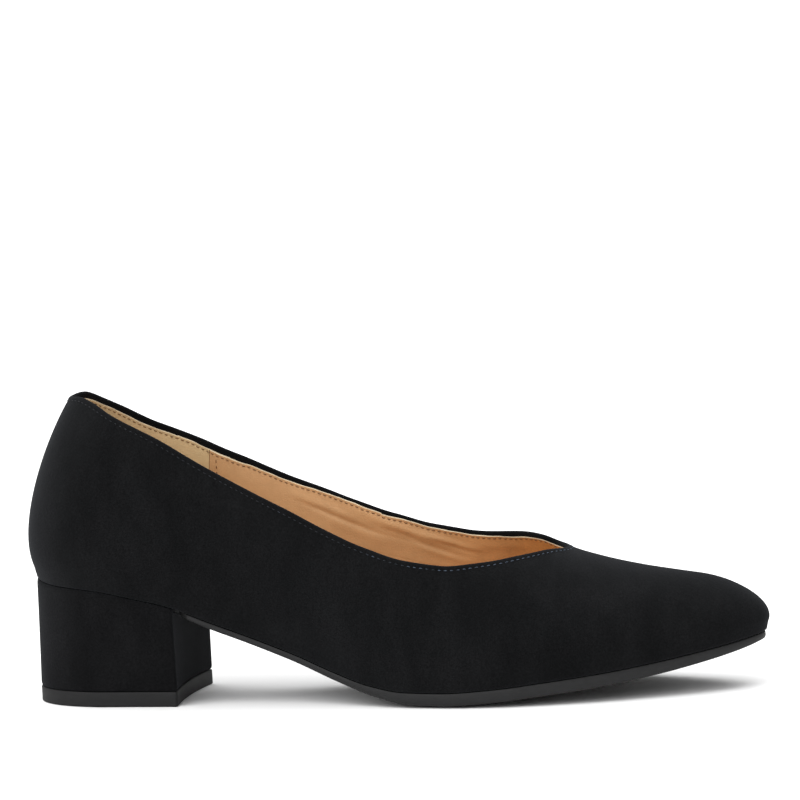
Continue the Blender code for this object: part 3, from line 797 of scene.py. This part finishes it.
# Folded edge, as (distance below the topline, offset out of the outer face) in millimetres.
FOLD = (
    (3.3, -0.10), (2.6, -0.03), (2.15, 0.03), (1.78, 0.02), (1.5, 0.12), (1.2, 0.20), (0.85, 0.23),
    (0.5, 0.18), (0.22, 0.08), (0.05, -0.08), (-0.10, -0.35), (-0.14, -0.65), (-0.08, -0.95),
    (0.10, -1.20), (0.45, -1.36), (1.1, -1.42), (2.5, -1.48), (4.5, -1.58),
)


def make_fold():
    skin = Skin()
    rows = []
    for distance, offset in FOLD:
        rows.append([beside_loop(i, distance / 1000, offset / 1000) for i in range(LOOP_COUNT)])
    skin.sheet(rows)
    made = skin.finish("topline_fold", [SUEDE], away_from_axis, 80)


# Width of the turned-in suede seen between the rim and the lining, in mm by station.
BAND = (
    (0.00, 2.0), (0.12, 2.0), (0.24, 1.9), (0.36, 1.4), (0.46, 0.9), (0.54, 0.8), (0.62, 1.2),
    (0.70, 1.5), (0.735, 1.9),
)

# The seam between the linings: its x, the x of its stitches, and how far it leans in x on its way down.
# The counter lining ends at COUNTER_END, under the front lining.
SEAM = 0.0585
SEAM_STITCHES = 0.0607
SEAM_LEAN = -0.08
COUNTER_END = 0.0680
SEAM_BEVEL = Vector((0.0005, 0.0, 0.0))
SEAM_ZONE = (0.006, 0.022)  # distances from the seam at which the lean starts to fade, and has faded
COLUMN_HEIGHT = 0.06  # rough height of the lining at the seam

# Reach of the linings' upper strips below their cut edge, in mm.
FRONT_STRIP = 15.0
COUNTER_STRIP = 9.0
# First rows of a strip, as (distance below its cut edge, extra depth) in mm, with the stitches' groove.
STRIP_EDGE = (
    (0.0, -0.45), (-0.02, -0.10), (0.05, 0.03), (0.22, 0.07), (0.6, 0.04), (0.85, 0.0), (1.0, -0.03),
    (1.15, 0.0), (1.5, 0.03),
)
STRIP_STEP = 0.6

# Depth at which the lining's columns start, and how far they lie behind the strip.
COLUMN_START = 0.003
BEHIND_STRIP = 0.0007

# Places where the scissors stepped in or out along the lining's edge: x from, x to, and by how much.
SNIPS = (
    (0.0475, 0.0560, -0.00022), (0.0660, 0.0740, 0.00025), (0.1030, 0.1120, -0.00020),
    (0.1180, 0.1260, 0.00028), (0.1600, 0.1680, 0.00020),
)


def band(i):
    """Distance of the lining's cut edge below the topline, slightly wavy as cut by hand."""
    wave = 0.00010 * math.sin(i * 0.11) + 0.00008 * math.sin(i * 0.037 + 1.0) + 0.00005 * math.sin(i * 0.41)
    x = along_loop(loop, i).x
    for start, end, step in SNIPS:
        wave += step * ease(start - 0.0006, start, x) * (1 - ease(end - 0.004, end, x))
    return smooth(BAND, x / SHOE_LENGTH, 1) / 1000 + wave


def near_seam(x):
    return 1 - ease(*SEAM_ZONE, abs(x - SEAM))


def leaned(i, below):
    """Place on the loop from which a point at a distance below lies on the seam's upright line."""
    near = near_seam(along_loop(loop, i).x)
    if near <= 0.0:
        return i
    opening = along_loop(loop_open, i)
    tangent = along_loop(loop_tangents, i)
    wanted = (opening.x + SEAM_LEAN) * below * near
    return i + wanted / tangent.x / (loop_length / LOOP_COUNT)


def add_strip(skin, indices, proud_of, reach):
    """The lining's upper part, from its cut edge to a reach in millimetres below it."""
    rows = []
    last = STRIP_EDGE[-1][0]
    count = round((reach - last) / STRIP_STEP)
    steps = list(STRIP_EDGE)
    for k in range(1, count + 1):
        steps.append((last + (reach - last) * k / count, 0.03 if k < count else -0.12))
    for distance, extra in steps:
        points = []
        for i in indices:
            below = band(i) + distance / 1000
            at = leaned(i, below)
            place = beside_loop(at, below, 0.0)
            depth = lining_depth(place, below, proud_of(place)) + extra / 1000
            points.append(beside_loop(at, below, -depth))
        rows.append(points)
    skin.sheet(rows[:4], closed=False, slot=1)
    skin.sheet(rows[3:], closed=False)
    return rows


def lining_columns(xs, proud_of, rows_count, reach):
    """Lining points on sections, from COLUMN_START down to the insole, behind the strip at first."""
    columns = []
    for side in (-1, 1):
        part = []
        for x in xs if side < 0 else reversed(xs):
            section = Section(x, side)
            start = section.topline()
            gone = 0.0
            while start > 0.05 and loop_tree.find(section.wall(start))[2] < COLUMN_START and gone < 0.010:
                lower = section.below(start, 0.0004)
                gone += (section.wall(lower) - section.wall(start)).length
                start = lower
            points = []
            near = near_seam(x)
            for k in range(rows_count + 1):
                t = start * (1 - k / rows_count)
                moved = section
                if near > 0.0:
                    moved = Section(x + SEAM_LEAN * near * COLUMN_HEIGHT * (1 - t), side)
                place, normal = face.at(moved.wall(t))
                distance = loop_tree.find(place)[2]
                behind = BEHIND_STRIP * (1 - ease(reach - 0.0030, reach - 0.0008, distance))
                points.append(place - normal * (lining_depth(place, distance, proud_of(place)) - behind))
            part.append(points)
        columns.append(part)
    return columns


def front_proud(place):
    """How far the front lining stands proud where it lies over the counter lining."""
    return 0.00035 * (1 - ease(COUNTER_END, COUNTER_END + 0.006, place.x))


def no_proud(_):
    return 0.0


def add_seam_edge(skin, line, depth):
    """Cut edge of the front lining, bevelled from a line of points down to the counter lining, and painted
    dark brown as the seam's shade.
    """
    sunk = [point + face.at(point)[1] * depth - SEAM_BEVEL for point in line]
    skin.sheet([line, sunk], closed=False, slot=2)


def make_front_lining():
    skin = Skin()
    xs = evenly_spaced(SEAM, THROAT, 60) + evenly_spaced(THROAT, SHOE_LENGTH - 0.001, 26)[1:]
    outer, inner = lining_columns(xs, front_proud, 40, FRONT_STRIP / 1000)
    skin.sheet(zip(*outer, *inner), closed=False)
    for line in (outer[0], inner[-1]):
        add_seam_edge(skin, line, 0.00045)
    indices = [i for i in range(LOOP_COUNT) if loop[i].x >= SEAM]
    strip = add_strip(skin, indices, front_proud, FRONT_STRIP)
    for end in (0, -1):
        add_seam_edge(skin, [row[end] for row in strip], 0.00055)
    made = skin.finish("lining_front", [FRONT_LINING, CUT_EDGE, SEAM_SHADE_EDGE], lambda p: -away_from_axis(p))


def make_counter_lining():
    skin = Skin()
    xs = evenly_spaced(0.0, COUNTER_END, 46)
    outer, inner = lining_columns(xs, no_proud, 30, COUNTER_STRIP / 1000)
    skin.sheet(zip(*inner, *outer[1:]), closed=False)
    half = LOOP_COUNT // 2
    indices = [i % LOOP_COUNT for i in range(-half, half) if loop[i].x <= COUNTER_END]
    add_strip(skin, indices, no_proud, COUNTER_STRIP)
    made = skin.finish("lining_counter", [COUNTER_LINING, CUT_EDGE], lambda p: -away_from_axis(p))


# Sock: the leather sheet over the insole.
SOCK_EDGE = 0.0030
SOCK_THICKNESS = 0.0005


def towards_middle(s, inset, share, lift=0.0):
    """Point on the last's bottom, a share of the way from an inset to the section's middle."""
    return s.floor(inset + (s.reach - inset) * share, lift)


def make_sock():
    skin = Skin()
    xs = evenly_spaced(0.0, SHOE_LENGTH, 90)
    outer, inner = half_round(xs)
    sections = outer + inner[1:-1]
    base = WALL + 2 * CLEARANCE + INSOLE_THICKNESS
    rows = []
    for inward, lift in ((0.0034, 0.02), (0.0023, 0.02), (0.00215, 0.2), (0.0024, 0.42), (0.0030, 0.5)):
        rows.append([s.floor(min(inward, s.reach), base + lift / 1000) for s in sections])
    for share in (0.06, 0.14, 0.25, 0.38, 0.52, 0.68, 0.84, 1.0):
        top = base + SOCK_THICKNESS
        rows.append([towards_middle(s, min(SOCK_EDGE, s.reach), share, top) for s in sections])
    skin.sheet(rows)
    made = skin.finish("sock", [SOCK], lambda p: Vector((0, 0, 1)))


# Sole.


def sole_thickness(x):
    return SOLE_THICKNESS * smooth(SOLE, x / SHOE_LENGTH, 1)


def tuck_inset(x):
    flared = HEEL_LENGTH + BREAST_SKEW + CLEARANCE + TUCK_FLARE
    share = min(1.0, max(0.0, (flared - x) / TUCK_FLARE))
    return SOLE_INSET + (TUCK_INSET - SOLE_INSET) * share


# Side of the sole, as (millimetres inward, share of the thickness).
SOLE_SIDE = (
    (0.22, 0.0), (0.07, 0.05), (0.0, 0.16), (-0.05, 0.34), (-0.03, 0.54), (0.08, 0.72), (0.26, 0.87),
    (0.48, 0.96), (0.70, 1.0),
)


def make_sole():
    breast = HEEL_LENGTH + BREAST_SKEW + CLEARANCE
    xs = evenly_spaced(HEEL_LENGTH - SOLE_TUCK, breast, 4)
    xs += evenly_spaced(breast, breast + TUCK_FLARE, 4)[1:]
    xs += evenly_spaced(breast + TUCK_FLARE, SHOE_LENGTH, 110)[1:]
    outer, inner = half_round(xs)
    sections = outer + inner[1:]
    skin = Skin()
    rows = []
    for share in (1.0, 0.7, 0.4, 0.15):
        rows.append([towards_middle(s, tuck_inset(s.x), share) for s in sections])
    for inward, share in SOLE_SIDE:
        points = []
        for s in sections:
            inset = tuck_inset(s.x)
            x, y, _ = s.floor(inset)
            px, py = s.plan(-inset - inward / 1000)
            points.append((px, py, max(0.0, bottom(x, y) - sole_thickness(x) * share)))
        rows.append(points)
    for share in (0.05, 0.1, 0.16, 0.24, 0.33, 0.42, 0.5, 0.62, 0.75, 0.88, 1.0):
        points = []
        for s in sections:
            x, y, z = towards_middle(s, tuck_inset(s.x) + SOLE_BEVEL, share)
            points.append((x, y, max(0.0, z - sole_thickness(x))))
        rows.append(points)
    made_rows = skin.sheet(rows, closed=False)
    skin.cap([row[0] for row in made_rows] + [row[-1] for row in reversed(made_rows[1:-1])])
    made = skin.finish("sole", [RUBBER], lambda p: Vector((0, p.y, p.z - edge_height(p.x))), 40)
    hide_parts("outsole")


# Heel.


def tread_half_width(x):
    full = TREAD_WIDTH * smooth(TREAD, x / HEEL_LENGTH, 1)
    return full * rounding(x, TREAD_ROUND * HEEL_LENGTH)


def breast_corner(share):
    """x of the breast's straight chord, from share -1 at the outer side to 1 at the inner side."""
    return HEEL_LENGTH + BREAST_SKEW * (1 + share) / 2


def heel_ring(width_of):
    """Closed plan of the heel, from the outer corner of the breast round the back and across the breast."""
    count = 44

    def flank(side):
        length = breast_corner(side) - HEEL_CORNER
        turns = [1 - math.cos(math.pi / 2 * k / count) for k in range(count + 1)]
        return [length * 0.5 * (turned + (k / count) ** 1.6) for k, turned in enumerate(turns)]

    ring = [(x, -width_of(x, -1)) for x in reversed(flank(-1))]
    ring += [(x, width_of(x, 1)) for x in flank(1)[1:]]
    wide = [width_of(breast_corner(side), side) for side in (-1, 1)]
    corner = HEEL_CORNER / TREAD_WIDTH * 2

    def breast(share):
        reach = wide[1] if share > 0 else wide[0]
        return (breast_corner(share) - BREAST_HOLLOW * (1 - share**2), share * reach)

    def rounded(side, turns):
        points = []
        full = wide[1] if side > 0 else wide[0]
        drop = breast_corner(side) - breast(side * (1 - corner))[0]
        for turn in turns:
            a = math.radians(turn)
            x = breast_corner(side) - HEEL_CORNER + (HEEL_CORNER - drop) * math.sin(a)
            y = full - HEEL_CORNER + HEEL_CORNER * math.cos(a)
            points.append((x, side * y))
        return points

    ring += rounded(1, (22, 45, 68))
    points = 26
    ring += [breast((1 - corner) * (1 - 2 * k / points)) for k in range(points + 1)]
    ring += rounded(-1, (68, 45, 22))
    return ring


def tread_ring():
    ring = heel_ring(lambda x, _: tread_half_width(x))
    return [(x - TREAD_BACK * max(0.0, 1 - x / HEEL_LENGTH), y) for x, y in ring]


TUCK_STEPS = 12


def tuck_block():
    """The sole's end with a clearance round it."""
    skin = Skin()
    length = SOLE_TUCK + CUTTER_AHEAD
    back = HEEL_LENGTH - SOLE_TUCK - CLEARANCE
    rows = []
    for k in range(TUCK_STEPS + 1):
        x = back + length * k / TUCK_STEPS
        sides = [edge_y(x, side) - side * (tuck_inset(x) - CLEARANCE) for side in (-1, 1)]
        ys = [sides[0] + (sides[1] - sides[0]) * j / TUCK_STEPS for j in range(TUCK_STEPS + 1)]
        under = [(x, y, bottom(x, y) - sole_thickness(x) - CLEARANCE) for y in ys]
        over = [(x, y, bottom(x, y) + WALL) for y in ys]
        rows.append(skin.row(under + over[::-1]))
    for first, second in zip(rows, rows[1:]):
        skin.join(first, second)
    skin.cap(rows[0])
    skin.cap(rows[-1])
    bmesh.ops.recalc_face_normals(skin.mesh, faces=skin.mesh.faces)
    for vertex in skin.mesh.verts:
        vertex.co += SHIFT
    data = bpy.data.meshes.new("tuck_block")
    skin.mesh.to_mesh(data)
    skin.mesh.free()
    return put_in_scene("tuck_block", data)


HEEL_FLARE = 1.4
HEEL_EDGE_LOW = 0.00035
HEEL_EDGE_HIGH = 0.00040


def make_heel():
    seat = heel_ring(lambda x, side: abs(edge_y(x, side)))
    tread = tread_ring()
    skin = Skin()
    base = TOP_PIECE + CLEARANCE
    heart = HEEL_LENGTH * 0.5
    rows = []
    levels = [0.0, 0.012, 0.03, 0.08] + [0.08 + 0.88 * k / 14 for k in range(1, 15)] + [0.985, 1.0]
    for level in levels:
        spread = 1 - (1 - level) ** HEEL_FLARE
        inset = 0.0
        if level < 0.02:
            inset = HEEL_EDGE_LOW * (1 - level / 0.02)
        if level > 0.97:
            inset = HEEL_EDGE_HIGH * ((level - 0.97) / 0.03) ** 2
        points = []
        for (sx, sy), (tx, ty) in zip(seat, tread):
            x = tx + (sx - tx) * spread
            y = ty + (sy - ty) * spread
            out = Vector((heart - x, -y)).normalized() * inset
            points.append((x + out.x, y + out.y, base + (bottom(sx, sy) - base) * level))
        rows.append(points)
    for share in (0.7, 0.35):
        points = []
        for sx, sy in seat:
            x, y = heart + (sx - heart) * share, sy * share
            points.append((x, y, bottom(x, y)))
        rows.append(points)
    made_rows = skin.sheet(rows)
    skin.cap(made_rows[0])
    peak = skin.row([(heart, 0.0, bottom(heart, 0.0))])[0]
    last = made_rows[-1]
    for k, vertex in enumerate(last):
        skin.mesh.faces.new((vertex, last[(k + 1) % len(last)], peak))
    made = skin.finish("heel_cover", [HEEL_SUEDE], lambda p: Vector((p.x - heart, p.y, 0)), 35)
    block = tuck_block()
    cut = made.modifiers.new("sole_end", "BOOLEAN")
    cut.operation = "DIFFERENCE"
    cut.object = block
    depsgraph = bpy.context.evaluated_depsgraph_get()
    result = bpy.data.meshes.new_from_object(made.evaluated_get(depsgraph))
    made.modifiers.clear()
    made.data = result
    bpy.data.objects.remove(block)
    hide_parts("heel_block")


def inset_ring(ring, distance):
    count = len(ring)
    points = []
    for k in range(count):
        before, after = Vector(ring[k - 1]), Vector(ring[(k + 1) % count])
        along = (after - before).normalized()
        inward = Vector((along.y, -along.x))
        if inward.dot(Vector((HEEL_LENGTH / 2, 0.0)) - Vector(ring[k])) < 0:
            inward = -inward
        points.append(Vector(ring[k]) + inward * distance)
    return points


# Side of the top piece, as (height, inset) in millimetres, where the height counts from the floor.
TOP_SIDE = (
    (0.0, 0.50), (0.06, 0.24), (0.20, 0.07), (0.42, 0.0), (1.6, 0.02), (3.2, 0.02), (4.7, 0.0),
    (4.98, 0.06), (5.14, 0.2), (5.2, 0.45),
)


def make_top_piece():
    skin = Skin()
    ring = tread_ring()
    rows = []
    for height, inset in TOP_SIDE:
        rows.append([(p.x, p.y, height / 1000) for p in inset_ring(ring, inset / 1000)])
    made_rows = skin.sheet(rows)
    skin.cap(made_rows[0])
    skin.cap(made_rows[-1])
    made = skin.finish("heel_lift", [LIFT_RUBBER], lambda p: Vector((p.x - HEEL_LENGTH / 2, p.y, 0)), 40)
    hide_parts("top_piece")


# Stitches.


class Path:
    """A line over a surface with the surface's normal at each point."""

    def __init__(self, points, normals, closed):
        self.points = points
        self.normals = normals
        self.total = [0.0]
        count = len(points)
        self.spans = count if closed else count - 1
        for k in range(self.spans):
            self.total.append(self.total[-1] + (points[(k + 1) % count] - points[k]).length)

    def at(self, length):
        length %= self.total[-1]
        low = bisect.bisect_left(self.total, length, 1, self.spans) - 1
        share = (length - self.total[low]) / (self.total[low + 1] - self.total[low])
        n = (low + 1) % len(self.points)
        normal = self.normals[low].lerp(self.normals[n], share).normalized()
        return self.points[low].lerp(self.points[n], share), normal


STITCH_RADIUS = 0.00017
STITCH_SIDES = 8
LOOSENESS = 0.00005
# Rings of a stitch, as (share of its length, width, rise), the last two in radii.
STITCH_RINGS = (
    (0.0, 0.25, -1.0), (0.10, 0.72, -0.35), (0.28, 0.96, 0.4), (0.5, 1.0, 0.62), (0.72, 0.96, 0.4),
    (0.90, 0.72, -0.35), (1.0, 0.25, -1.0),
)
# Pitch and length of the stitches along the topline and in the lining.
EDGE_STITCH = (0.0021, 0.00125)
LINING_STITCH = (0.0020, 0.00135)
EDGE_STITCH_DEPTH = 0.00175  # below the topline
LINING_STITCH_DEPTH = 0.0010  # below the lining's cut edge


def add_stitches(skin, path, pitch_and_length, seed):
    """Short rounded threads along a path, each dipping into the surface at its ends."""
    chance = random.Random(seed)
    pitch, length = pitch_and_length
    count = int(path.total[-1] / pitch)
    pitch = path.total[-1] / count
    for k in range(count):
        start = k * pitch + (pitch - length) / 2 + chance.uniform(-LOOSENESS, LOOSENESS)
        tilt = chance.uniform(-LOOSENESS, LOOSENESS)
        swell = chance.uniform(0.94, 1.06)
        made = []
        for share, width, rise in STITCH_RINGS:
            centre, normal = path.at(start + length * share)
            ahead, _ = path.at(start + length * share + 0.0002)
            along = (ahead - centre).normalized()
            across = along.cross(normal).normalized()
            centre = centre + normal * (rise * STITCH_RADIUS) + across * tilt * (share - 0.5) * 2
            ring = []
            for j in range(STITCH_SIDES):
                a = 2 * math.pi * j / STITCH_SIDES
                around = across * math.cos(a) + normal * math.sin(a)
                ring.append(centre + around * STITCH_RADIUS * width * swell)
            made.append(skin.row(ring))
        for first, second in zip(made, made[1:]):
            skin.join(first, second)
        skin.cap(made[0])
        skin.cap(made[-1])


def finish_stitches(skin, name, made_of):
    for part in skin.mesh.faces:
        part.smooth = True
    made = skin.finish(name, [made_of], None, 80)


def make_edge_stitches():
    points = [beside_loop(i, EDGE_STITCH_DEPTH, 0.00002) for i in range(LOOP_COUNT)]
    normals = [face.at(p)[1] for p in points]
    skin = Skin()
    add_stitches(skin, Path(points, normals, True), EDGE_STITCH, 3)
    finish_stitches(skin, "stitches_topline", THREAD)


def make_lining_stitches():
    skin = Skin()
    points = []
    normals = []
    for i in range(LOOP_COUNT):
        below = band(i) + LINING_STITCH_DEPTH
        place = beside_loop(i, below, 0.0)
        depth = lining_depth(place, below, front_proud(place) if loop[i].x >= SEAM else 0.0)
        points.append(beside_loop(i, below, -depth - 0.00003))
        normals.append(-face.at(place)[1])
    add_stitches(skin, Path(points, normals, True), LINING_STITCH, 5)
    for side in (-1, 1):
        section = Section(SEAM_STITCHES, side)
        top = section.below(section.topline(), band(0) + 0.0022)
        points = []
        normals = []
        for k in range(61):
            place, normal = face.at(section.wall(top + (0.03 - top) * k / 60))
            distance = loop_tree.find(place)[2]
            points.append(place - normal * (lining_depth(place, distance, front_proud(place)) + 0.00003))
            normals.append(-normal)
        add_stitches(skin, Path(points, normals, False), LINING_STITCH, 7 + side)
    finish_stitches(skin, "stitches_lining", BROWN_THREAD)


make_upper()
make_fold()
make_front_lining()
make_counter_lining()
make_sock()
make_sole()
make_heel()
make_top_piece()
make_edge_stitches()
make_lining_stitches()

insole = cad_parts["insole"]
for slot in insole.material_slots:
    slot.material = BOARD


# Floor, light and camera.


FLOOR_SIZE = 12.0
FLOOR_DROP = 0.00005  # keeps the floor clear of the sole's flat faces


def make_floor():
    data = bpy.data.meshes.new("floor")
    signs = ((-1, -1), (1, -1), (1, 1), (-1, 1))
    corners = [(x * FLOOR_SIZE, y * FLOOR_SIZE, -FLOOR_DROP) for x, y in signs]
    data.from_pydata(corners, [], [(0, 1, 2, 3)])
    made = Surface("pale_floor")
    made.feed(made.shader, {
        "Base Color": (0.92, 0.92, 0.92, 1.0),
        "Roughness": 0.9,
        "Specular IOR Level": 0.1,
    })
    data.materials.append(made.material)
    floor = put_in_scene("floor", data)


def add_sun(name, place, spread, strength):
    """Even soft light from far away in the direction of a place, as from a large softbox."""
    data = bpy.data.lights.new(name, "SUN")
    data.angle = math.radians(spread)
    data.energy = strength
    made = put_in_scene(name, data)
    made.rotation_euler = Vector(place).to_track_quat("Z", "Y").to_euler()
    made.location = place


WHITE = (1.0, 1.0, 1.0, 1.0)
SKY_LIGHT = 0.52
BACKDROP_LIGHT = 1.1


def add_light():
    world = bpy.data.worlds.new("studio")
    world.use_nodes = True
    nodes, links = world.node_tree.nodes, world.node_tree.links
    lighting = nodes["Background"]
    lighting.inputs["Color"].default_value = WHITE
    lighting.inputs["Strength"].default_value = SKY_LIGHT
    backdrop = nodes.new("ShaderNodeBackground")
    backdrop.inputs["Color"].default_value = WHITE
    backdrop.inputs["Strength"].default_value = BACKDROP_LIGHT
    ray = nodes.new("ShaderNodeLightPath")
    shown = nodes.new("ShaderNodeMixShader")
    links.new(ray.outputs["Is Camera Ray"], shown.inputs[0])
    links.new(lighting.outputs[0], shown.inputs[1])
    links.new(backdrop.outputs[0], shown.inputs[2])
    links.new(shown.outputs[0], nodes["World Output"].inputs["Surface"])
    bpy.context.scene.world = world
    add_sun("softbox_top", (-0.10, 0.25, 1.5), 80.0, 2.9)
    add_sun("softbox_front", (-0.55, -1.10, 0.95), 60.0, 2.1)
    bpy.context.scene.view_settings.view_transform = "Standard"


AZIMUTH = math.radians(11.5)
ELEVATION = math.radians(7.7)
ROLL = math.radians(2.8)
AIM = Vector((0.0995, 0.0, 0.050))
CAMERA_DISTANCE = 1.8


def add_camera():
    back = Vector((
        math.sin(AZIMUTH) * math.cos(ELEVATION),
        -math.cos(AZIMUTH) * math.cos(ELEVATION),
        math.sin(ELEVATION),
    ))
    level = Vector((math.cos(AZIMUTH), math.sin(AZIMUTH), 0.0))
    upward = back.cross(level)
    right = level * math.cos(ROLL) - upward * math.sin(ROLL)
    up = upward * math.cos(ROLL) + level * math.sin(ROLL)
    data = bpy.data.cameras.new("camera")
    data.lens = 236.52
    data.sensor_width = 36.0
    data.shift_x = 0.0076888
    data.shift_y = 0.1846973
    data.clip_start = 0.05
    data.clip_end = 60.0
    made = put_in_scene("camera", data)
    place = AIM + back * CAMERA_DISTANCE
    made.matrix_world = Matrix((
        (right.x, up.x, back.x, place.x),
        (right.y, up.y, back.y, place.y),
        (right.z, up.z, back.z, place.z),
        (0.0, 0.0, 0.0, 1.0),
    ))
    bpy.context.scene.camera = made


make_floor()
add_light()
add_camera()
